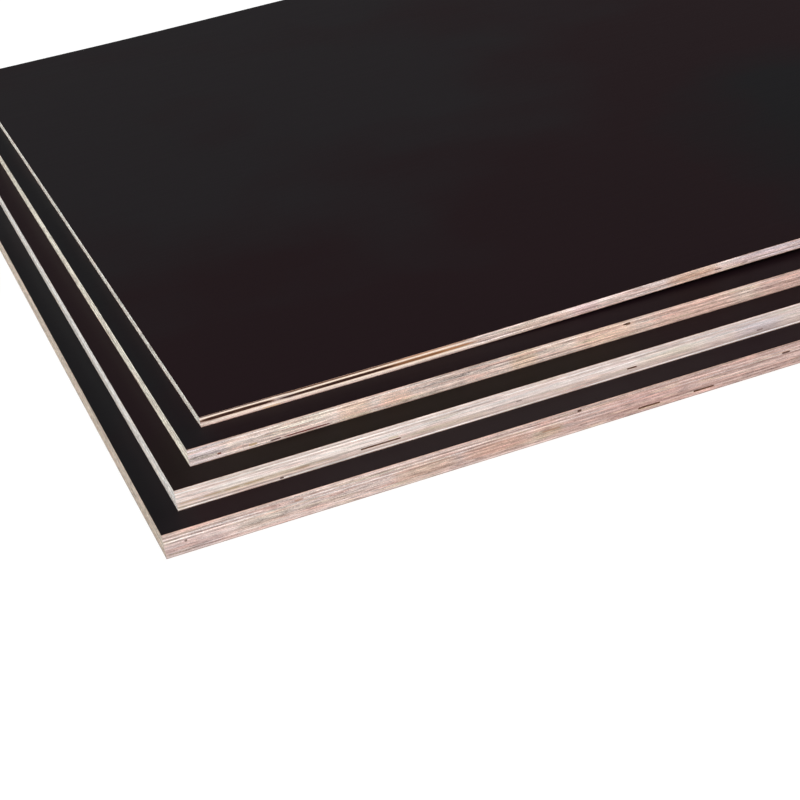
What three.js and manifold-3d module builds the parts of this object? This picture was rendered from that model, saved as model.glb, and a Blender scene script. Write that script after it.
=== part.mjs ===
// Four film-faced birch plywood sheets in a stack, each stepped back from the near corner of the
// sheet below it.
//
// Every sheet is laid up as it is pressed: a phenolic film on each face and an odd number of
// veneers between them, the grain of one across the grain of the next. The thin top sheet has
// warped and lifts off the stack between its ends. Where two strips of a core veneer don't meet,
// the sawn edge shows a pocket one veneer high.
//
// Millimetres, +Z up. +X runs along the sheets, +Y across them, away from the front edge. The
// origin is the centre of the bottom sheet's underside, and the near corner is at the left end of
// the front edge.

import * as THREE from 'three';
import { mergeVertices } from 'three/addons/utils/BufferGeometryUtils.js';
import Module from 'manifold-3d';

const SHEET_LENGTH = 2500;
const SHEET_WIDTH = 1250;
const FILM_THICKNESS = 0.3;

// From the floor up. stepX and stepY place a sheet's near corner from the bottom sheet's.
const SHEETS = [
  { name: 'bottom_sheet', thickness: 21, veneers: 15, stepX: 0, stepY: 0 },
  { name: 'second_sheet', thickness: 18, veneers: 13, stepX: 21, stepY: 29.5 },
  { name: 'third_sheet', thickness: 15, veneers: 11, stepX: 42.5, stepY: 61 },
  { name: 'top_sheet', thickness: 9, veneers: 7, stepX: 63, stepY: 92.5 },
];

// The warp of the top sheet: how high it lifts, how much of each end still lies flat, how long
// the rise from there to the full height is, and the facets along one rise.
const WARPED_SHEET = 'top_sheet';
const WARP_HEIGHT = 4.2;
const WARP_FLAT_END = 160;
const WARP_RISE = 420;
const WARP_FACETS = 14;

// Core gaps. Veneers are counted from the sheet's underside. start is measured along the edge:
// from the left end on the front and back, and from the front on the left and right ends.
const GAP_DEPTH = 18;
const CORE_GAPS = [
  { sheet: 'bottom_sheet', veneer: 3, edge: 'front', start: 403, length: 20 },
  { sheet: 'bottom_sheet', veneer: 3, edge: 'front', start: 454, length: 19 },
  { sheet: 'bottom_sheet', veneer: 5, edge: 'front', start: 1418, length: 24 },
  { sheet: 'bottom_sheet', veneer: 10, edge: 'back', start: 730, length: 22 },
  { sheet: 'bottom_sheet', veneer: 8, edge: 'right', start: 512, length: 7 },
  { sheet: 'second_sheet', veneer: 4, edge: 'front', start: 153, length: 34 },
  { sheet: 'second_sheet', veneer: 4, edge: 'front', start: 389, length: 9 },
  { sheet: 'second_sheet', veneer: 9, edge: 'back', start: 1640, length: 26 },
  { sheet: 'second_sheet', veneer: 6, edge: 'left', start: 884, length: 6 },
  { sheet: 'third_sheet', veneer: 9, edge: 'front', start: 382.5, length: 6.5 },
  { sheet: 'third_sheet', veneer: 4, edge: 'front', start: 1876, length: 8 },
  { sheet: 'third_sheet', veneer: 6, edge: 'right', start: 268, length: 18 },
];

const FINISHES = {
  film: { color: 0x241c1e, roughness: 0.42, metalness: 0 },
  longGrain: { color: 0xe6cfc6, roughness: 0.72, metalness: 0 },
  crossGrain: { color: 0xcfaf9c, roughness: 0.8, metalness: 0 },
};

const wasm = await Module();
wasm.setup();

// Warp at a distance from a sheet's left end: zero on the flat ends, half a cosine wave up each
// rise, and the full height between the rises.
function warpAt(distance) {
  const fromNearerEnd = Math.min(distance, SHEET_LENGTH - distance);
  const climbed = THREE.MathUtils.clamp((fromNearerEnd - WARP_FLAT_END) / WARP_RISE, 0, 1);
  return (WARP_HEIGHT * (1 - Math.cos(Math.PI * climbed))) / 2;
}

// Distances from the left end at which the long section of a sheet has a corner.
function sectionStations(warped) {
  if (!warped) {
    return [0, SHEET_LENGTH];
  }
  const rise = [];
  for (let i = 0; i <= WARP_FACETS; i += 1) {
    rise.push(WARP_FLAT_END + (WARP_RISE * i) / WARP_FACETS);
  }
  const fall = rise.map((distance) => SHEET_LENGTH - distance).reverse();
  return [0, ...rise, ...fall, SHEET_LENGTH];
}

// One layer of a sheet: its long section between two heights, carried across the sheet's width.
function layerGeometry(sheet, low, high) {
  const warped = sheet.name === WARPED_SHEET;
  const left = sheet.stepX - SHEET_LENGTH / 2;
  const back = sheet.stepY + SHEET_WIDTH / 2;
  const stations = sectionStations(warped);
  const along = (height) =>
    stations.map((distance) => {
      const lift = warped ? warpAt(distance) : 0;
      return new THREE.Vector2(left + distance, height + lift);
    });
  const section = new THREE.Shape([...along(low), ...along(high).reverse()]);
  const layer = new THREE.ExtrudeGeometry(section, { depth: SHEET_WIDTH, bevelEnabled: false });
  // The section is drawn in XY and extruded along +Z: this stands it up and carries it to -Y.
  return layer.rotateX(Math.PI / 2).translate(0, back, 0);
}

// A block that stands astride a sheet's edge and reaches GAP_DEPTH into it.
function gapCutter(sheet, gap, height) {
  const front = sheet.stepY - SHEET_WIDTH / 2;
  const left = sheet.stepX - SHEET_LENGTH / 2;
  const middle = gap.start + gap.length / 2;
  const place = {
    front: [left + middle, front],
    back: [left + middle, front + SHEET_WIDTH],
    left: [left, front + middle],
    right: [left + SHEET_LENGTH, front + middle],
  }[gap.edge];
  const runsAlongX = gap.edge === 'front' || gap.edge === 'back';
  const sizeX = runsAlongX ? gap.length : 2 * GAP_DEPTH;
  const sizeY = runsAlongX ? 2 * GAP_DEPTH : gap.length;
  const block = new THREE.BoxGeometry(sizeX, sizeY, 2 * sheet.thickness);
  return block.translate(place[0], place[1], height);
}

function toSolid(geometry) {
  geometry.deleteAttribute('normal');
  geometry.deleteAttribute('uv');
  const merged = mergeVertices(geometry);
  const mesh = new wasm.Mesh({
    numProp: 3,
    vertProperties: merged.attributes.position.array,
    triVerts: Uint32Array.from(merged.index.array),
  });
  return new wasm.Manifold(mesh);
}

function toGeometry(solid) {
  const mesh = solid.getMesh();
  const geometry = new THREE.BufferGeometry();
  geometry.setAttribute('position', new THREE.BufferAttribute(mesh.vertProperties, 3));
  geometry.setIndex(new THREE.BufferAttribute(mesh.triVerts, 1));
  return geometry;
}

function cutGaps(geometry, sheet, gaps, height) {
  if (gaps.length === 0) {
    return geometry;
  }
  let solid = toSolid(geometry);
  for (const gap of gaps) {
    solid = solid.subtract(toSolid(gapCutter(sheet, gap, height)));
  }
  return toGeometry(solid);
}

function addLayer(stack, name, geometry, finish) {
  const flatShaded = geometry.index ? geometry.toNonIndexed() : geometry;
  flatShaded.computeVertexNormals();
  const mesh = new THREE.Mesh(flatShaded, new THREE.MeshStandardMaterial(finish));
  mesh.name = name;
  stack.add(mesh);
}

// Layers share the very same heights, so that each one lies on the next with no gap or overlap.
function addSheet(stack, sheet, underside) {
  const top = underside + sheet.thickness;
  const lowestVeneer = underside + FILM_THICKNESS;
  const core = sheet.thickness - 2 * FILM_THICKNESS;
  const heights = [];
  for (let i = 0; i <= sheet.veneers; i += 1) {
    heights.push(lowestVeneer + (core * i) / sheet.veneers);
  }

  const backFilm = layerGeometry(sheet, underside, heights[0]);
  addLayer(stack, `${sheet.name}_film_back`, backFilm, FINISHES.film);
  for (let i = 0; i < sheet.veneers; i += 1) {
    const gaps = CORE_GAPS.filter((gap) => gap.sheet === sheet.name && gap.veneer === i + 1);
    const whole = layerGeometry(sheet, heights[i], heights[i + 1]);
    const cut = cutGaps(whole, sheet, gaps, (heights[i] + heights[i + 1]) / 2);
    // The outer veneers run along the sheet, and every second one across it.
    const finish = i % 2 === 0 ? FINISHES.longGrain : FINISHES.crossGrain;
    const number = String(i + 1).padStart(2, '0');
    addLayer(stack, `${sheet.name}_veneer_${number}`, cut, finish);
  }
  const faceFilm = layerGeometry(sheet, heights[sheet.veneers], top);
  addLayer(stack, `${sheet.name}_film_face`, faceFilm, FINISHES.film);
  return top;
}

const stack = new THREE.Group();
let level = 0;
for (const sheet of SHEETS) {
  level = addSheet(stack, sheet, level);
}

export default stack;
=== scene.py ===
# Four film-faced birch plywood sheets in a stack, dressed veneer by veneer.
#
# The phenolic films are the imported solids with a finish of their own. Every veneer is built anew
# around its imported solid: the same outline, heights and core gaps, with the edge that the saw
# leaves, a little lower at each glue line. Metres, +Z up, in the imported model's frame.
import math

import bpy
import numpy as np
from mathutils import Matrix, Vector


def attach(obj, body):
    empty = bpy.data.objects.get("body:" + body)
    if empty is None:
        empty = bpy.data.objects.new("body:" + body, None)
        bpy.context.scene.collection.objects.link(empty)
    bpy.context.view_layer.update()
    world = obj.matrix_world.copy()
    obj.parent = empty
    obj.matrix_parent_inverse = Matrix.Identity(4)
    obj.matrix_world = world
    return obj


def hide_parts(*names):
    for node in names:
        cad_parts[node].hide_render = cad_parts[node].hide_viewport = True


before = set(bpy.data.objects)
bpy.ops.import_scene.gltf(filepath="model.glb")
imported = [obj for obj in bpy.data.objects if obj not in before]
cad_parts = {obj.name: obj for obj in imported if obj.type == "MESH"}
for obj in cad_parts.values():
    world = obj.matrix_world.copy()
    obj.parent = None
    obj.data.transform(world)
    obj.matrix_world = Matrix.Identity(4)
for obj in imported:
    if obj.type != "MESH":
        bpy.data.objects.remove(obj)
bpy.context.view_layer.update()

EYE = (-1.41356, -1.86583, 0.70331)
SIGHT = (16.480818, 25.946767, -9.170880)  # azimuth, depression and roll, in degrees
LENS = 83.678          # millimetres, on a sensor 36 mm wide

FLOOR_GREY = 0.42      # share of the lamps' light that the floor gives back
FLOOR_GLOW = 0.58      # light that the floor adds for what looks at it
ROOM_LIGHT = 0.13      # light of the room at floor height
ROOM_OVERHEAD = 0.30   # light that it gains overhead

STATION = 0.006        # most that two stations along an edge lie apart
PROFILE = np.array([0.0, 0.1, 0.5, 0.9, 1.0])  # rows up the edge of one veneer
GLUE_GROOVE = 0.00010  # how far a glue line lies behind the sawn edge
GROOVE_POWER = 6       # how sharply the groove turns in at the glue line
GROOVE_REACH = 0.045   # length of edge over which the groove's depth changes
SETBACK = 0.00007      # most that one veneer's edge lies behind its neighbour's
TEAR_OUT = 0.00005     # most that torn fibres lie behind the edge
TEAR_REACH = 0.013     # length of edge over which the torn fibres change
GAP_WALL = 4           # stations down the side wall of a core gap
SAME_PLACE = 1e-7      # places nearer than this are one

BAKE_ROWS = 24         # rows that an edge is laid out in for baking
BAKE_FACES = 0.10      # share of that layout for the two hidden faces
BAKE_GAP = 0.18        # share of a row left free below and above the edge
BAKE_SIDE = 0.004      # share of the layout left free at both ends of a row
BAKE_RIM = 0.01        # share of the layout left free round a hidden face


# Camera, floor and lamps

def aim_camera():
    """The camera looks down on the near corner. Its line of sight is turned from +Y by an azimuth
    and a depression, and the camera is rolled about that line."""
    azimuth, depression, roll = (math.radians(angle) for angle in SIGHT)
    sight = np.array([
        math.sin(azimuth) * math.cos(depression),
        math.cos(azimuth) * math.cos(depression),
        -math.sin(depression),
    ])
    level = np.cross(sight, [0.0, 0.0, 1.0])
    level /= np.linalg.norm(level)
    upright = np.cross(level, sight)
    placed = np.eye(4)
    placed[:3, 0] = math.cos(roll) * level + math.sin(roll) * upright
    placed[:3, 1] = math.cos(roll) * upright - math.sin(roll) * level
    placed[:3, 2] = -sight
    placed[:3, 3] = EYE
    data = bpy.data.cameras.new("camera")
    data.lens = LENS
    data.sensor_width = 36.0
    data.clip_start = 0.05
    data.clip_end = 500.0
    camera = bpy.data.objects.new("camera", data)
    camera.matrix_world = Matrix(placed.tolist())
    bpy.context.scene.collection.objects.link(camera)
    bpy.context.scene.camera = camera


def hang_lamp(name, azimuth, elevation, level, spread):
    """A broad soft light from far away. level is the light that reaches a surface facing it,
    where 1 shows a colour as it is written, and spread is how wide it looks, in degrees."""
    data = bpy.data.lights.new(name, "SUN")
    data.energy = level * math.pi
    data.angle = math.radians(spread)
    lamp = bpy.data.objects.new(name, data)
    turn, rise = math.radians(azimuth), math.radians(elevation)
    towards = Vector((
        math.sin(turn) * math.cos(rise),
        -math.cos(turn) * math.cos(rise),
        math.sin(rise),
    ))
    lamp.rotation_euler = towards.to_track_quat("Z", "Y").to_euler()
    bpy.context.scene.collection.objects.link(lamp)


# Node trees

class Wire:
    """An output socket. Sums and products of wires and numbers add their Math nodes."""

    def __init__(self, finish, socket):
        self.finish = finish
        self.socket = socket

    def maths(self, operation, first, second):
        return self.finish.node("ShaderNodeMath", {"operation": operation}, {0: first, 1: second})

    def __add__(self, other):
        return self.maths("ADD", self, other)

    def __radd__(self, other):
        return self.maths("ADD", other, self)

    def __sub__(self, other):
        return self.maths("SUBTRACT", self, other)

    def __rsub__(self, other):
        return self.maths("SUBTRACT", other, self)

    def __mul__(self, other):
        return self.maths("MULTIPLY", self, other)

    def __rmul__(self, other):
        return self.maths("MULTIPLY", other, self)

    def __abs__(self):
        return self.maths("ABSOLUTE", self, 0.0)

    def held(self):
        """The value, held between 0 and 1."""
        return self.finish.node("ShaderNodeClamp", {}, {"Value": self})

    def beside(self, name):
        """Another output of the same node."""
        return Wire(self.finish, self.socket.node.outputs[name])


class Finish:
    """The nodes of one material or of the world."""

    def __init__(self, owner):
        owner.use_nodes = True
        self.owner = owner
        self.tree = owner.node_tree
        self.tree.nodes.clear()

    def node(self, kind, settings=None, sockets=None, output=0):
        """Adds a node: first its settings, then a value or a wire for each of its sockets."""
        made = self.tree.nodes.new(kind)
        for name, value in (settings or {}).items():
            setattr(made, name, value)
        for key, value in (sockets or {}).items():
            if isinstance(value, Wire):
                self.tree.links.new(value.socket, made.inputs[key])
            else:
                made.inputs[key].default_value = value
        return Wire(self, made.outputs[output] if made.outputs else None)

    def blend(self, share, first, second):
        """The first colour where share is 0 and the second where it is 1."""
        return self.node("ShaderNodeMix", {"data_type": "RGBA"}, {0: share, 6: first, 7: second}, 2)

    def apart(self, vector):
        """The X, Y and Z of a vector."""
        split = self.node("ShaderNodeSeparateXYZ", {}, {0: vector}, "X")
        return split, split.beside("Y"), split.beside("Z")

    def lighten(self, colour, factor):
        """The colour times a value."""
        if not isinstance(colour, Wire):
            colour = colour[:3]
        return self.node("ShaderNodeVectorMath", {"operation": "SCALE"}, {0: colour, 3: factor})

    def clouds(self, x, y, z, detail=2.0, roughness=0.5):
        """Noise at the point x, y, z, one unit to a cloud, from about -1 to 1."""
        point = self.node("ShaderNodeCombineXYZ", {}, {0: x, 1: y, 2: z})
        noise = self.node("ShaderNodeTexNoise", {}, {
            "Vector": point,
            "Scale": 1.0,
            "Detail": detail,
            "Roughness": roughness,
        })
        return (noise - 0.5) * 3.2


def paint(red, green, blue):
    """A colour given as it shows on a screen, as the shader takes it."""
    share = np.array([red, green, blue]) / 255.0
    linear = np.where(share <= 0.04045, share / 12.92, ((share + 0.055) / 1.055) ** 2.4)
    return (*linear.tolist(), 1.0)


def lay_floor():
    """A pale floor, flat and far wider than the view. What looks at it sees it a little brighter
    than the lamps light it, so that it shows white but for the stack's shadow."""
    mesh = bpy.data.meshes.new("floor")
    reach, below = 80.0, -0.0003
    corners = [
        (-reach, -reach, below),
        (reach, -reach, below),
        (reach, reach, below),
        (-reach, reach, below),
    ]
    mesh.from_pydata(corners, [], [(0, 1, 2, 3)])
    floor = bpy.data.objects.new("floor", mesh)
    bpy.context.scene.collection.objects.link(floor)
    finish = Finish(bpy.data.materials.new("pale_floor"))
    path = finish.node("ShaderNodeLightPath", {}, {}, "Is Camera Ray")
    seen = (path + path.beside("Is Glossy Ray") + path.beside("Is Transmission Ray")).held()
    grey = (FLOOR_GREY, FLOOR_GREY, FLOOR_GREY, 1.0)
    matt = finish.node("ShaderNodeBsdfDiffuse", {}, {"Color": grey})
    glow = finish.node("ShaderNodeEmission", {}, {"Strength": seen * FLOOR_GLOW})
    both = finish.node("ShaderNodeAddShader", {}, {0: matt, 1: glow})
    finish.node("ShaderNodeOutputMaterial", {}, {"Surface": both})
    mesh.materials.append(finish.owner)


def light_room():
    """Soft light from the front left and from above, with less from behind, in a dim room that is
    a little brighter overhead, by the square of the height that a ray points to. The room shows
    white to the camera."""
    hang_lamp("overhead_light", -40.0, 62.0, 0.30, 50.0)
    hang_lamp("front_left_light", -42.0, 25.0, 1.05, 45.0)
    hang_lamp("back_right_light", 108.0, 32.0, 0.38, 30.0)
    world = bpy.data.worlds.new("room")
    bpy.context.scene.world = world
    room = Finish(world)
    way = room.node("ShaderNodeTexCoord", {}, {}, "Generated")
    height = room.apart(way)[2].held()
    path = room.node("ShaderNodeLightPath", {}, {}, "Is Camera Ray")
    seen = (path + path.beside("Is Transmission Ray")).held()
    level = seen + (1.0 - seen) * (height * height * ROOM_OVERHEAD + ROOM_LIGHT)
    glow = room.node("ShaderNodeBackground", {}, {"Color": (1.0, 1.0, 1.0, 1.0), "Strength": level})
    room.node("ShaderNodeOutputWorld", {}, {"Surface": glow})
    bpy.context.scene.view_settings.view_transform = "Standard"


# Finishes

FILM = (27, 16, 19)
BLUE_BLACK = (27, 24, 26)
BLACK = (21, 20, 22)
UMBER = (25, 19, 16)
DARK_BROWN = (23, 13, 16)
SAWN_FILM = (182, 150, 132)

# Patches of another shade on a sheet's film: the middle of the patch and how far it reaches
# along and across the sheet, in metres, its colour and its strength. On the top sheet they
# change the film's shade in broad places. On the lower three sheets they lie along the ledges
# between the steps, and are painted shade and light beside the lit edge of the sheet above.
PATCHES = {
    "top_sheet": [
        (-1.15, 0.45, 0.75, 0.80, BLUE_BLACK, 1.0),
        (-0.42, -0.36, 0.22, 0.36, BLACK, 1.0),
        (0.10, 0.42, 0.26, 0.20, BLACK, 0.7),
        (0.86, 0.02, 0.50, 0.46, BLUE_BLACK, 0.7),
        (0.52, -0.44, 0.24, 0.14, UMBER, 0.8),
    ],
    "third_sheet": [
        # painted shade: the front ledge and the left-end ledge, darker beside the lit edge of the
        # sheet above
        (-0.90, -0.56, 0.60, 0.06, DARK_BROWN, 1.0),
        (-1.22, 0.10, 0.05, 1.10, BLACK, 1.0),
    ],
    "second_sheet": [
        # painted shade: the front ledge, darker and browner beside the lit edge of the sheet above
        (-0.70, -0.58, 0.30, 0.20, DARK_BROWN, 1.0),
        (-1.03, -0.58, 0.22, 0.20, UMBER, 1.0),
    ],
    "bottom_sheet": [
        # painted shade on the left-end ledge, and painted light, a lighter patch, on the front
        # ledge beside the lit edge of the sheet above
        (-1.25, 0.20, 0.05, 1.20, BLACK, 1.0),
        (-0.97, -0.60, 0.24, 0.20, (31, 24, 25), 0.8),
    ],
}


PATCH_CRISPNESS = 1.3
PATCH_STRAY = 0.5     # how far the cloudiness from the press moves a patch's rim
FILM_ROUGHNESS = 0.42


def film_finish(sheet):
    """Dark brown phenolic film: nearly one colour, with a faint cloudiness from the press and
    the long grain of the veneer under it just showing in its sheen. Each patch is full at its
    middle and falls off with the square of the distance from it, further out where the press
    left more of it. Where the film is sawn through, it is a light brown."""
    finish = Finish(bpy.data.materials.new(sheet + "_film"))
    place = finish.node("ShaderNodeTexCoord", {}, {}, "Object")
    x, y, z = finish.apart(place)
    facing = finish.apart(place.beside("Normal"))[2]
    # Places are in metres, so a factor is how many clouds go to a metre.
    press = finish.clouds(x * 5.0, y * 5.0, z * 40.0, 3.0)
    grain = finish.clouds(x * 9.0, y * 260.0, z * 40.0, 3.0)
    dust = finish.clouds(x * 900.0, y * 900.0, z * 900.0, 1.0)
    colour = paint(*FILM)
    # Patches along the ledges of the lower three sheets are painted shade and light; the rest
    # change the film's shade in broad places.
    for middle_x, middle_y, reach_x, reach_y, shade, strength in PATCHES[sheet]:
        beside = (x - middle_x) * (1.0 / reach_x)
        across = (y - middle_y) * (1.0 / reach_y)
        share = 1.0 - beside * beside - across * across + press * PATCH_STRAY
        share = share * PATCH_CRISPNESS
        colour = finish.blend(share.held() * strength, colour, paint(*shade))
    # The broad faces point up or down, and the sawn ones sideways.
    sawn = 1.0 - (abs(facing) * 4.0).held()
    colour = finish.blend(sawn, colour, paint(*SAWN_FILM))
    colour = finish.lighten(colour, press * 0.05 + grain * 0.03 + dust * 0.03 + 1.0)
    rough = press * 0.03 + grain * 0.025 + dust * 0.03 + FILM_ROUGHNESS
    bump = finish.node("ShaderNodeBump", {}, {
        "Strength": 0.35,
        "Distance": 0.00003,
        "Height": grain * 0.7 + dust * 0.3,
    })
    skin = finish.node("ShaderNodeBsdfPrincipled", {}, {
        "Base Color": colour,
        "Roughness": rough,
        "Specular IOR Level": 0.03,
        "Normal": bump,
    })
    finish.node("ShaderNodeOutputMaterial", {}, {"Surface": skin})
    return finish.owner


def glued_face_finish():
    """The broad face of a veneer, browned by the glue. It shows only in the core gaps."""
    finish = Finish(bpy.data.materials.new("glued_veneer_face"))
    x, y, z = finish.apart(finish.node("ShaderNodeTexCoord", {}, {}, "Object"))
    grain = finish.clouds(x * 4.0, y * 30.0, z * 700.0, 2.0)
    colour = finish.lighten(paint(146, 108, 84), grain * 0.08 + 1.0)
    face = finish.node("ShaderNodeBsdfPrincipled", {}, {
        "Base Color": colour,
        "Roughness": grain * 0.03 + 0.75,
        "Specular IOR Level": 0.3,
    })
    finish.node("ShaderNodeOutputMaterial", {}, {"Surface": face})
    return finish.owner


# How each sheet's edges look.
#   veneers          the tone of each veneer, from the underside up
#   spread           how far apart the tones lie
#   seed             sets its noise apart from the other sheets'
#   long, far        the colour of a middling veneer on the long edges, by the near corner and
#                    further off
#   short            the same on the short edges
#   stray            how far a veneer strays from its tone along the edge
#   grain, pores     how strongly the grain and the cut ends of the pores show
#   pink, straw      how much of the wood takes these tints
#   glue             the share of a veneer's height that its glue lines take
#   fray             how rough the saw left the short edges
BIRCH = {
    "top_sheet": {
        "veneers": "dpkdmpp", "spread": 1.0, "seed": 11.0,
        "long": (231, 210, 203), "far": (230, 209, 203), "short": (222, 221, 212),
        "stray": 0.28, "grain": 1.10, "pores": 0.45, "pink": 1.2, "straw": 0.7, "glue": 0.10,
        "fray": 0.45,
    },
    "third_sheet": {
        "veneers": "mmdmmmpmdpm", "spread": 1.2, "seed": 23.0,
        "long": (228, 209, 200), "far": (213, 190, 178), "short": (225, 221, 206),
        "stray": 0.42, "grain": 1.10, "pores": 0.45, "pink": 1.3, "straw": 0.8, "glue": 0.10,
        "fray": 0.34,
    },
    "second_sheet": {
        "veneers": "pkdddmmpmdpdm", "spread": 1.15, "seed": 37.0,
        "long": (237, 223, 216), "far": (228, 213, 208), "short": (223, 221, 216),
        "stray": 0.24, "grain": 0.52, "pores": 0.18, "pink": 0.8, "straw": 0.8, "glue": 0.08,
        "fray": 0.48,
    },
    "bottom_sheet": {
        "veneers": "mdmddmmmdpdpdmd", "spread": 1.3, "seed": 53.0,
        "long": (218, 200, 194), "far": (188, 163, 156), "short": (187, 176, 161),
        "stray": 0.42, "grain": 1.05, "pores": 0.40, "pink": 1.2, "straw": 0.7, "glue": 0.11,
        "fray": 0.40,
    },
}

# The red, green and blue light that each tone gives back, as a share of the middling one's: a
# pale veneer is a little whiter and a dark one a little browner.
TONES = {
    "p": (1.11, 1.16, 1.18),
    "m": (1.00, 1.00, 1.00),
    "d": (0.87, 0.82, 0.80),
    "k": (0.74, 0.67, 0.64),
}

PINK = (212, 172, 160)
STRAW = (213, 198, 170)
CREAM = (252, 232, 214)
GLUE = (132, 92, 72)
KNOT = (74, 44, 34)
DEEP_BROWN = (48, 18, 8)
TAN = (222, 184, 142)
RUST = (168, 112, 62)

# Shades laid on a front edge, under its grain, in the form of the marks below: lighter, darker
# and tinted places. The one low on the third sheet, 505 mm along, is painted shade along the
# sheet's underside.
SHADES = {
    "top_sheet": [
        (265.0, 0.90, 45.0, 1.30, (246, 230, 220), 0.80),
        (300.0, 5.00, 30.0, 8.00, (226, 202, 186), 0.60),
        (343.0, 5.00, 14.0, 8.00, (218, 184, 186), 0.60),
        (446.0, 5.00, 28.0, 8.00, (214, 174, 146), 0.75),
        (530.0, 5.00, 50.0, 8.00, (208, 189, 196), 0.70),
    ],
    "third_sheet": [
        (8.0, 8.00, 26.0, 16.00, (214, 200, 202), 0.70),
        (96.0, 12.00, 30.0, 8.00, (228, 218, 200), 0.60),
        (140.0, 8.00, 16.0, 16.00, (228, 194, 170), 0.60),
        (176.0, 6.00, 16.0, 7.00, (228, 186, 162), 0.60),
        (290.0, 8.00, 14.0, 12.00, (220, 188, 158), 0.60),
        (365.0, 8.00, 30.0, 14.00, (216, 180, 156), 0.60),
        (450.0, 8.00, 44.0, 14.00, (206, 166, 153), 0.65),
        (60.0, 14.60, 110.0, 1.40, (204, 178, 168), 0.75),
        # painted shade: the lowest veneer darker along the sheet's underside
        (505.0, 0.90, 55.0, 1.40, (184, 150, 138), 0.70),
        (545.0, 8.00, 44.0, 14.00, (196, 158, 150), 0.65),
    ],
    "second_sheet": [
        (70.0, 5.40, 52.0, 2.60, (224, 208, 184), 0.70),
        (225.0, 4.60, 40.0, 2.20, (228, 212, 188), 0.50),
        (430.0, 8.00, 40.0, 6.00, (216, 206, 190), 0.50),
        (512.0, 7.00, 26.0, 9.00, (206, 195, 202), 0.60),
    ],
    "bottom_sheet": [
        (20.0, 5.00, 34.0, 8.00, (190, 170, 168), 0.80),
        (80.0, 8.00, 24.0, 6.00, (206, 194, 178), 0.50),
        (215.0, 9.00, 30.0, 8.00, (200, 170, 146), 0.60),
        (278.0, 9.00, 34.0, 8.00, (198, 158, 138), 0.70),
        (322.0, 9.00, 16.0, 6.00, (192, 172, 144), 0.60),
        (410.0, 8.00, 40.0, 16.00, (188, 154, 148), 0.60),
        (30.0, 19.60, 75.0, 3.20, (196, 176, 166), 0.80),
        (415.0, 19.80, 70.0, 2.60, (214, 192, 182), 0.80),
    ],
}

# Marks on a sheet's front edge: how far the middle lies along the edge from its left end and
# above the sheet's underside, how far the mark reaches along and up from there, its colour and
# its strength. Millimetres.
MARKS = {
    "top_sheet": [
        (36.0, 2.40, 42.0, 1.60, CREAM, 0.45),
        (45.0, 3.20, 33.0, 0.60, CREAM, 0.80),
        (36.0, 7.15, 42.0, 1.10, CREAM, 0.90),
        (155.0, 2.40, 92.0, 1.70, CREAM, 0.50),
        (160.0, 2.85, 88.0, 0.70, CREAM, 0.90),
        (155.0, 6.70, 92.0, 1.05, CREAM, 1.00),
        # Near-black brown bands fading out from the near corner, at the top veneer and at
        # mid-height, with rust-brown ones beside them.
        (48.0, 8.95, 72.0, 1.10, DEEP_BROWN, 0.95),
        (150.0, 9.00, 98.0, 1.75, RUST, 0.80),
        (115.0, 9.00, 64.0, 1.50, DEEP_BROWN, 0.75),
        (31.0, 5.25, 35.0, 1.70, RUST, 0.80),
        (31.0, 5.25, 34.0, 1.45, DEEP_BROWN, 1.00),
        (156.0, 4.75, 92.0, 1.55, RUST, 0.90),
        (160.0, 4.70, 56.0, 1.20, (118, 74, 42), 0.80),
        (118.0, 4.80, 55.0, 1.40, DEEP_BROWN, 1.00),
        (60.0, 0.90, 9.0, 0.60, TAN, 0.80),
        (470.0, 3.10, 4.0, 0.65, KNOT, 0.85),
        (495.5, 1.95, 4.0, 0.60, KNOT, 0.60),
    ],
    "third_sheet": [
        (25.0, 3.90, 1.8, 0.95, (122, 72, 58), 1.00),
        (53.0, 3.20, 4.0, 1.00, (176, 146, 102), 0.85),
        (72.0, 1.80, 5.0, 0.75, (84, 46, 44), 1.00),
        (99.0, 1.70, 22.0, 0.80, (108, 42, 32), 1.00),
        (386.3, 11.40, 2.8, 1.25, (58, 34, 28), 1.00),
    ],
    "second_sheet": [
        (10.0, 5.60, 9.0, 0.75, (192, 160, 134), 0.70),
        (29.0, 5.70, 8.0, 0.70, (176, 148, 120), 0.75),
        (45.0, 5.50, 7.0, 0.75, (168, 142, 110), 0.70),
        (63.0, 5.70, 9.0, 0.70, (174, 148, 114), 0.75),
        (103.0, 5.30, 7.0, 0.80, (160, 132, 104), 0.70),
        (122.0, 5.50, 8.0, 0.60, (188, 162, 132), 0.60),
        (85.5, 1.55, 1.8, 0.85, (92, 62, 52), 1.00),
        (181.0, 7.40, 5.0, 0.90, STRAW, 0.80),
        (290.8, 5.90, 3.0, 0.55, KNOT, 0.60),
        (514.0, 4.60, 3.5, 0.80, (120, 98, 92), 0.80),
    ],
    "bottom_sheet": [
        (17.5, 10.60, 1.2, 1.00, KNOT, 0.80),
        (110.0, 15.60, 4.0, 0.80, (158, 116, 92), 0.80),
        (325.0, 9.00, 9.0, 0.90, (146, 104, 80), 0.70),
        (351.3, 18.10, 2.0, 1.15, KNOT, 1.00),
        (541.8, 13.70, 4.2, 1.00, KNOT, 1.00),
    ],
}


FAR_START = 0.12      # metres along a front edge at which its colour begins to change
FAR_RATE = 3.5        # how much of the change one metre brings
LIGHT = 0.92          # light of a veneer before its grain is added to it
GLUE_FADE = 12.0      # how abruptly a glue line ends
SHADE_CRISPNESS = 1.0
MARK_CRISPNESS = 2.2


def mark_share(along, up, mark, low, thickness, crispness):
    """1 in the middle of a mark and 0 at its rim: one less the fourth power of the distance along
    and the square of the distance up, in the mark's own half length and half height, times its
    crispness. Held between 0 and 1, and times the mark's strength."""
    middle, height, reach, rise = (value / 1000.0 for value in mark[:4])
    across = (up * thickness + (low - height)) * (1.0 / rise)
    beside = (along - middle) * (1.0 / reach)
    beside = beside * beside
    return ((1.0 - beside * beside - across * across) * crispness).held() * mark[5]


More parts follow.
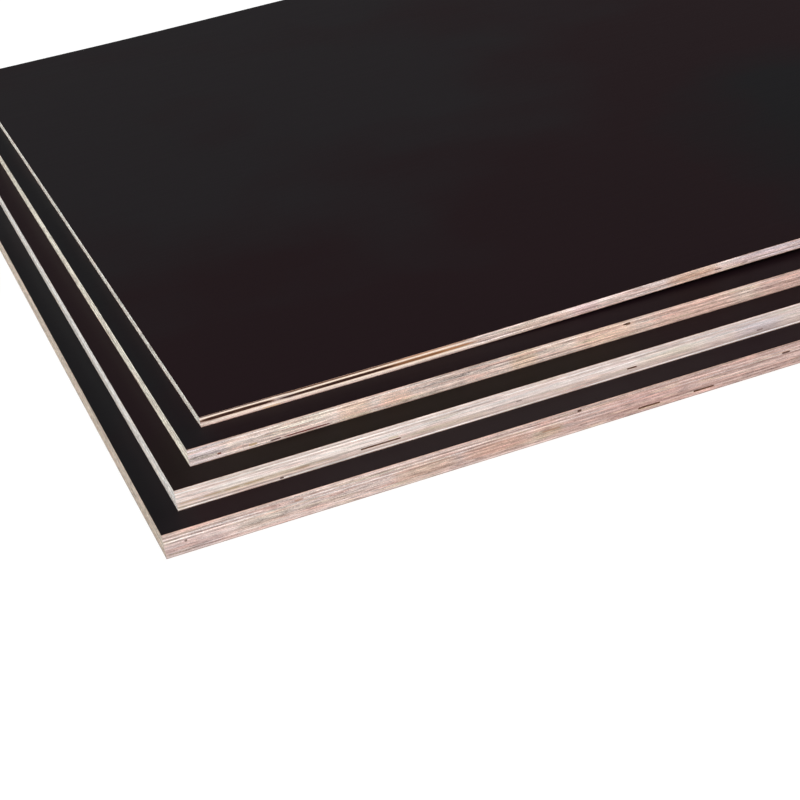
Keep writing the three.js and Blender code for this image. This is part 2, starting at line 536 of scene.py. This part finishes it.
def birch_finish(name, sheet, veneer, low, thickness):
    """The sawn edge of one birch veneer, low above the sheet's underside. Its colour goes from
    the near one to the far one along the edge, takes the shades and the two tints, and is then
    lightened and darkened by the grain: long fine streaks where the grain runs along the edge,
    and pores where it ends there. The glue shows as a broken brown line at both its arrises.
    The marks lie over all that, and the grain wears through them."""
    looks = BIRCH[sheet]
    seed = looks["seed"] + veneer * 3.7
    finish = Finish(bpy.data.materials.new(name + "_edge"))
    edge = finish.node("ShaderNodeUVMap", {"uv_map": "sawn_edge"}, {})
    along, up, _ = finish.apart(edge)
    short = finish.node("ShaderNodeAttribute", {"attribute_name": "short_edge"}, {}, "Fac")
    grain_along = short if veneer % 2 else 1.0 - short
    end_grain = 1.0 - grain_along
    height = up * thickness + low

    # along and height are in metres, so their factors are clouds to a metre, and up runs from 0
    # to 1 in a veneer. The third number sets one noise apart from the next.
    blush = finish.clouds(along * 27.0, height * 330.0, looks["seed"], 2.0)
    straw = finish.clouds(along * 24.0, height * 300.0, looks["seed"] + 5.3, 2.0)
    drift = finish.clouds(along * 9.0, 0.5, seed + 6.2, 1.0)
    tint = finish.clouds(along * 22.0, 0.5, seed, 3.0)
    patch = finish.clouds(along * 70.0, up * 0.9, seed + 1.3, 4.0)
    streak = finish.clouds(along * 80.0, up * 2.3, seed + 2.1, 5.0, 0.72)
    pores = finish.clouds(along * 950.0, up * 1.6, seed + 4.6, 2.0)
    fray = finish.clouds(along * 320.0, height * 320.0, looks["seed"] + 8.8, 2.0)
    saw = finish.clouds(along * 620.0 + height * 90.0, 0.5, looks["seed"] + 9.1, 1.0)

    tone = np.array([*TONES[looks["veneers"][veneer]], 1.0]) ** looks["spread"]
    away = ((along - FAR_START) * FAR_RATE).held()
    colour = finish.blend(away, tone * paint(*looks["long"]), tone * paint(*looks["far"]))
    # One shade, low on the third sheet, is painted shade along its underside.
    for shade in SHADES[sheet]:
        share = mark_share(along, up, shade, low, thickness, SHADE_CRISPNESS)
        colour = finish.blend(share, colour, tone * paint(*shade[4]))
    colour = finish.blend(short, colour, tone * paint(*looks["short"]))
    warm = 1.0 - 0.4 * short
    pink = (blush * looks["pink"] + tint * 0.3 - 0.1).held() * warm
    colour = finish.blend(pink, colour, paint(*PINK))
    pale = (straw * looks["straw"] - tint * 0.3 - 0.15).held()
    colour = finish.blend(pale, colour, paint(*STRAW))
    grain = streak * (grain_along * 0.4 + 0.6) * looks["grain"]
    grain = grain + end_grain * pores * looks["pores"]
    grain = grain * (1.0 + 0.4 * short) + fray * short * looks["fray"]
    light = drift * looks["stray"] + tint * 0.18 + patch * 0.20
    colour = finish.lighten(colour, LIGHT + light + grain + saw * 0.015)
    rim = (abs(up - 0.5) * 2.0 + (patch * 0.05 + (looks["glue"] - 1.0))) * GLUE_FADE
    glue = rim.held() * (tint * 0.25 + 1.0)
    colour = finish.blend(glue.held(), colour, paint(*GLUE))
    worn_through = (1.0 + grain * 0.5).held()
    for mark in MARKS[sheet]:
        middle, rise = mark[1] / 1000.0, mark[3] / 1000.0
        if low - rise < middle < low + thickness + rise:
            share = mark_share(along, up, mark, low, thickness, MARK_CRISPNESS)
            share = share * (1.0 - short) * worn_through
            colour = finish.blend(share, colour, paint(*mark[4]))

    bump = finish.node("ShaderNodeBump", {}, {
        "Strength": 0.6,
        "Distance": 0.00008,
        "Height": streak * 0.4 + end_grain * pores * 0.5 + saw * 0.08,
    })
    wood = finish.node("ShaderNodeBsdfPrincipled", {}, {
        "Base Color": colour,
        "Roughness": 0.70 + end_grain * 0.08 + streak * 0.05 - glue * 0.12,
        "Specular IOR Level": 0.3,
        "Normal": bump,
    })
    finish.node("ShaderNodeOutputMaterial", {}, {"Surface": wood})
    return finish.owner


# Veneers

def corner_points(node):
    """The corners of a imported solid, each once, to a thousandth of a millimetre."""
    co = np.empty(len(node.data.vertices) * 3)
    node.data.vertices.foreach_get("co", co)
    return np.unique(np.round(co.reshape(-1, 3), 6), axis=0)


def long_section(points):
    """The solid's long section: distances along X at which it has a corner on the front edge,
    and its underside and top there."""
    front = points[points[:, 1] == points[:, 1].min()]
    x = np.unique(front[:, 0])
    low = np.array([front[front[:, 0] == at, 2].min() for at in x])
    high = np.array([front[front[:, 0] == at, 2].max() for at in x])
    return x, low, high


def core_gaps(points, box):
    """The gaps cut in from the sides, as {side: [(start, end, depth)]}. Each leaves two corners
    inside the outline, which lie the gap's depth behind the side nearest to them."""
    (x0, y0), (x1, y1) = box
    inside = ((points[:, :2] > box[0] + 1e-4) & (points[:, :2] < box[1] - 1e-4)).all(1)
    found = np.unique(points[inside, :2], axis=0)
    behind = np.stack([found[:, 1] - y0, x1 - found[:, 0], y1 - found[:, 1], found[:, 0] - x0])
    along = np.stack([found[:, 0] - x0, found[:, 1] - y0, x1 - found[:, 0], y1 - found[:, 1]])
    nearest = behind.argmin(0)
    gaps = {}
    for side in range(4):
        mine = np.flatnonzero(nearest == side)
        ends = np.sort(along[side, mine]).reshape(-1, 2)
        gaps[side] = [(a, b, behind[side, mine].min()) for a, b in ends]
    return gaps


def side_stations(breaks, gaps):
    """Stations along one side, as distances along it and depths behind it. Between two breaks
    they are evenly spaced. At a gap they turn in to its back wall, follow it and come out."""
    ends = np.unique(np.concatenate([breaks, *[gap[:2] for gap in gaps]]))
    depths = {round(gap[0], 6): gap[2] for gap in gaps}
    along, behind = [], []
    for start, end in zip(ends[:-1], ends[1:]):
        steps = max(1, math.ceil((end - start) / STATION - 1e-6))
        run = np.linspace(start, end, steps + 1)
        depth = depths.get(round(start, 6), 0.0)
        if depth:
            wall = np.linspace(0.0, depth, GAP_WALL)[:-1]
            run = np.concatenate([np.full(GAP_WALL - 1, start), run, np.full(GAP_WALL - 1, end)])
            depth = np.concatenate([wall, np.full(steps + 1, depth), wall[::-1]])
        along.append(run[:-1])
        behind.append(np.broadcast_to(depth, run.shape)[:-1])
    return np.concatenate(along), np.concatenate(behind)


def outline(box, breaks, gaps):
    """The outline counter-clockwise from the near corner, side by side: places, which side each
    is on, distances from the corner along the sides, and the mitre that points inwards. The
    mitre is the sum of the inward directions of the two stretches that meet at a place, over one
    plus their dot product, so that both are set in by the same depth."""
    (x0, y0), (x1, y1) = box
    corners = np.array([(x0, y0), (x1, y0), (x1, y1), (x0, y1)])
    ways = np.array([(1.0, 0.0), (0.0, 1.0), (-1.0, 0.0), (0.0, -1.0)])
    inwards = np.array([(0.0, 1.0), (-1.0, 0.0), (0.0, -1.0), (1.0, 0.0)])
    lengths = np.array([x1 - x0, y1 - y0, x1 - x0, y1 - y0])
    whole = np.array([0.0, y1 - y0])
    ends = [breaks, whole, (x1 - x0 - breaks)[::-1], whole]
    places, sides, distances = [], [], []
    for side in range(4):
        along, behind = side_stations(ends[side], gaps[side])
        places.append(corners[side] + along[:, None] * ways[side] + behind[:, None] * inwards[side])
        sides.append(np.full(len(along), side))
        distances.append(lengths[:side].sum() + along)
    place = np.concatenate(places)
    ahead = np.roll(place, -1, axis=0) - place
    ahead /= np.linalg.norm(ahead, axis=1)[:, None]
    inward = np.stack([-ahead[:, 1], ahead[:, 0]], axis=1)
    before = np.roll(inward, 1, axis=0)
    mitre = (inward + before) / (1.0 + (inward * before).sum(1))[:, None]
    return place, np.concatenate(sides), np.concatenate(distances), mitre


def worn(distance, length, reach, seed):
    """Smooth noise from 0 to 1 round an outline: random values every reach, with the same value
    where the outline closes, joined by straight lines."""
    count = max(2, int(length / reach))
    values = np.random.default_rng(seed).random(count)
    return np.interp(distance, np.linspace(0.0, length, count + 1), np.append(values, values[0]))


def bake_layout(distance, rows_up):
    """The map that the edge is baked through, as a place for each corner of each of its faces.
    The edge is cut into BAKE_ROWS lengths, laid one above the other. Across the map goes the
    distance from the start of the length, as a share of the longest one, and up it go the row
    and the height in the row, given by rows_up."""
    count = len(distance) - 1
    per_row = math.ceil(count / BAKE_ROWS)
    station = np.arange(count)
    row = station // per_row
    start = distance[row * per_row]
    longest = (distance[np.minimum((row + 1) * per_row, count)] - start).max()
    wide = 1.0 - 2.0 * BAKE_SIDE
    left = BAKE_SIDE + wide * (distance[:-1] - start) / longest
    right = BAKE_SIDE + wide * (distance[1:] - start) / longest
    across = np.stack([left, right, right, left], axis=-1)
    lifted = BAKE_GAP + (1.0 - 2.0 * BAKE_GAP) * rows_up
    share = (1.0 - BAKE_FACES) / BAKE_ROWS
    low = (row + lifted[:-1, None]) * share
    high = (row + lifted[1:, None]) * share
    up = np.stack([low, low, high, high], axis=-1)
    return np.stack([np.broadcast_to(across, up.shape), up], axis=-1)


def face_parts(front, back, count):
    """The flat parts of a veneer's face, each as stations counter-clockwise. front and back are
    the stations at the breaks of the long section, from the left end to the right."""
    none = np.arange(0)
    parts = []
    for i in range(len(front) - 1):
        near = np.arange(front[i], front[i + 1] + 1)
        right_end = np.arange(front[i + 1] + 1, back[i + 1]) if i == len(front) - 2 else none
        far = np.arange(back[i + 1], back[i] + 1)
        left_end = np.arange(back[i] + 1, count) if i == 0 else none
        parts.append(np.concatenate([near, right_end, far, left_end]))
    return parts


def build_veneer(node, sheet, veneer, box, breaks, underside, face_finish):
    """One veneer as a closed shell. Its edge is the outline carried up through PROFILE, where
    each point is set in by the veneer's setback, the groove at the glue lines and the torn
    fibres. The groove grows with a power of the distance from mid-height, and the torn fibres
    with the square of smooth noise. The two broad faces are cut at the breaks of the long
    section, so that each part is flat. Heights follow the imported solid's long section."""
    points = corner_points(node)
    section_x, section_low, section_high = long_section(points)
    place, side, distance, mitre = outline(box, breaks, core_gaps(points, box))
    count, rows = len(place), len(PROFILE)
    size = box[1] - box[0]
    length = 2.0 * size.sum()

    seed = round(BIRCH[sheet]["seed"]) * 100 + veneer
    depth = 0.6 + 0.8 * worn(distance, length, GROOVE_REACH, seed)
    groove = GLUE_GROOVE * np.abs(2.0 * PROFILE - 1.0)[:, None] ** GROOVE_POWER * depth
    torn = [worn(distance, length, TEAR_REACH, seed + 1000 * row) for row in range(1, rows + 1)]
    setback = SETBACK * np.random.default_rng(seed).random()
    inset = setback + groove + TEAR_OUT * np.stack(torn) ** 2
    flat = place + mitre * inset[..., None]
    low = np.interp(flat[..., 0], section_x, section_low)
    high = np.interp(flat[..., 0], section_x, section_high)
    height = low + PROFILE[:, None] * (high - low)
    vertices = np.concatenate([flat, height[..., None]], axis=2).reshape(-1, 3)

    here = np.arange(count)
    after = (here + 1) % count
    row = np.arange(rows - 1)[:, None] * count
    quads = np.stack([row + here, row + after, row + count + after, row + count + here], axis=-1)
    off = np.abs(place[:, 0] - (box[0][0] + breaks)[:, None])
    on_front = np.abs(place[:, 1] - box[0][1]) < SAME_PLACE
    on_back = np.abs(place[:, 1] - box[1][1]) < SAME_PLACE
    front = np.where(on_front, off, np.inf).argmin(1)
    back = np.where(on_back, off, np.inf).argmin(1)
    parts = face_parts(front, back, count)
    under = [part[::-1] for part in parts]
    over = [part + count * (rows - 1) for part in parts]
    faces = quads.reshape(-1, 4).tolist() + [part.tolist() for part in under + over]
    mesh = bpy.data.meshes.new(node.name + "_birch")
    mesh.from_pydata(vertices.tolist(), [], faces)

    around = np.append(distance, length)
    across = np.stack([around[:-1], around[1:], around[1:], around[:-1]], axis=-1)
    up = np.stack([PROFILE[:-1], PROFILE[:-1], PROFILE[1:], PROFILE[1:]], axis=-1)[:, None]
    edge_map = np.stack(np.broadcast_arrays(across, up), axis=-1)
    walked = np.linalg.norm(np.roll(place, -1, axis=0) - place, axis=1)
    edge_bake = bake_layout(np.concatenate([[0.0], np.cumsum(walked)]), PROFILE)
    corner = np.concatenate(under + parts)
    face_map = (place[corner] - box[0]) / size
    column = np.repeat([BAKE_RIM, 0.5 + BAKE_RIM], len(corner) // 2)
    face_bake = np.stack([
        column + (0.5 - 2.0 * BAKE_RIM) * face_map[:, 0],
        1.0 - BAKE_FACES + BAKE_RIM + (BAKE_FACES - 2.0 * BAKE_RIM) * face_map[:, 1],
    ], axis=-1)
    for name, edge, face in (("sawn_edge", edge_map, face_map), ("OFBake", edge_bake, face_bake)):
        uv = np.concatenate([edge.reshape(-1, 2), face]).astype(np.float32)
        mesh.uv_layers.new(name=name).uv.foreach_set("vector", uv.ravel())
    broad = np.zeros(2 * len(parts))
    short = np.concatenate([np.tile(side % 2, rows - 1), broad]).astype(np.float32)
    mesh.attributes.new("short_edge", "FLOAT", "FACE").data.foreach_set("value", short)
    slots = np.concatenate([np.zeros(quads.size // 4), broad + 1]).astype(np.int32)
    mesh.polygons.foreach_set("material_index", slots)

    rise = float(section_low[0]) - underside
    thickness = float(section_high[0] - section_low[0])
    mesh.materials.append(birch_finish(node.name, sheet, veneer, rise, thickness))
    mesh.materials.append(face_finish)
    mesh.update()
    piece = bpy.data.objects.new(node.name + "_birch", mesh)
    bpy.context.scene.collection.objects.link(piece)
    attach(piece, "root")
    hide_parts(node.name)


def dress_sheet(sheet, glued_face):
    """Gives a sheet's two films their finish and builds its veneers between them."""
    film = film_finish(sheet)
    for side in ("back", "face"):
        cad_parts[f"{sheet}_film_{side}"].data.materials[0] = film
    points = corner_points(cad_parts[f"{sheet}_film_back"])
    box = np.stack([points[:, :2].min(0), points[:, :2].max(0)])
    breaks = long_section(points)[0] - box[0][0]
    for veneer in range(len(BIRCH[sheet]["veneers"])):
        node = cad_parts[f"{sheet}_veneer_{veneer + 1:02d}"]
        build_veneer(node, sheet, veneer, box, breaks, points[:, 2].min(), glued_face)


aim_camera()
light_room()
lay_floor()
glued_face = glued_face_finish()
for sheet in BIRCH:
    dress_sheet(sheet, glued_face)
